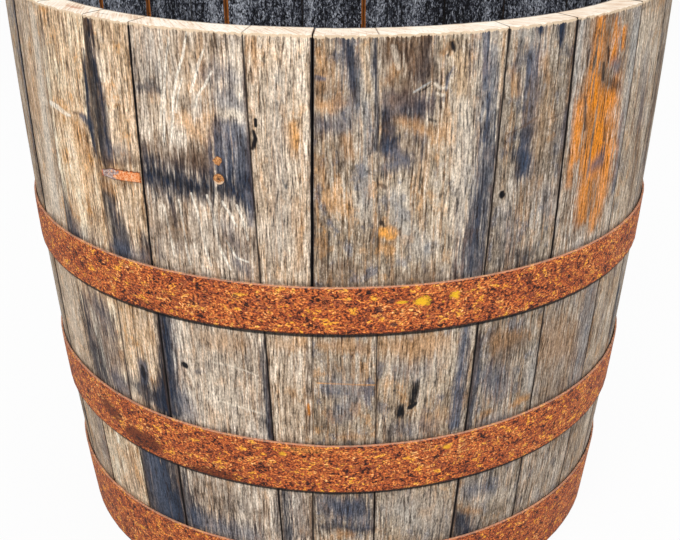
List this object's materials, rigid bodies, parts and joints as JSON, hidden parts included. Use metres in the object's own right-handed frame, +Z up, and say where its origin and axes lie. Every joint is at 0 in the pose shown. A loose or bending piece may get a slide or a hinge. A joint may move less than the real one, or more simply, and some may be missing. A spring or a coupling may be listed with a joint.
{
  "type": "barrel planter",
  "caption": "Half-barrel planter: bowed oak staves edge to edge, riveted rusted steel hoops and a boarded floor with drain holes, open at the top.",
  "frame": {"origin": "on the floor, on the barrel's axis, in the middle of the foot", "axes": "+Z up towards the rim; -Y towards the viewer of the picture; +X to the viewer's right"},
  "size_m": [0.6598, 0.66, 0.58],
  "materials": {
    "stave_oak": "weathered grey-tan oak outside, charred inside, fresh sawn at the rim",
    "head_oak": "weathered oak, charred on its upper face",
    "dowel_wood": "plain turned hardwood",
    "hoop_steel": "mild steel strip rusted all over, matt",
    "fastening_steel": "rusted mild steel, matt"
  },
  "bodies": {
    "root": {"stave_01": "stave_oak", "stave_02": "stave_oak", "stave_03": "stave_oak", "stave_04": "stave_oak", "stave_05": "stave_oak", "stave_06": "stave_oak", "stave_07": "stave_oak", "stave_08": "stave_oak", "stave_09": "stave_oak", "stave_10": "stave_oak", "stave_11": "stave_oak", "stave_12": "stave_oak", "stave_13": "stave_oak", "stave_14": "stave_oak", "stave_15": "stave_oak", "stave_16": "stave_oak", "stave_17": "stave_oak", "stave_18": "stave_oak", "stave_19": "stave_oak", "stave_20": "stave_oak", "stave_21": "stave_oak", "stave_22": "stave_oak", "stave_23": "stave_oak", "stave_24": "stave_oak", "stave_25": "stave_oak", "stave_26": "stave_oak", "head_board_1": "head_oak", "head_board_2": "head_oak", "head_board_3": "head_oak", "head_board_4": "head_oak", "head_board_5": "head_oak", "head_board_6": "head_oak", "head_dowels": "dowel_wood", "bilge_hoop": "hoop_steel", "quarter_hoop": "hoop_steel", "head_hoop": "hoop_steel", "bilge_hoop_rivets": "fastening_steel", "quarter_hoop_rivets": "fastening_steel", "head_hoop_rivets": "fastening_steel", "stave_nails": "fastening_steel", "cleat": "fastening_steel"}
  },
  "joints": []
}
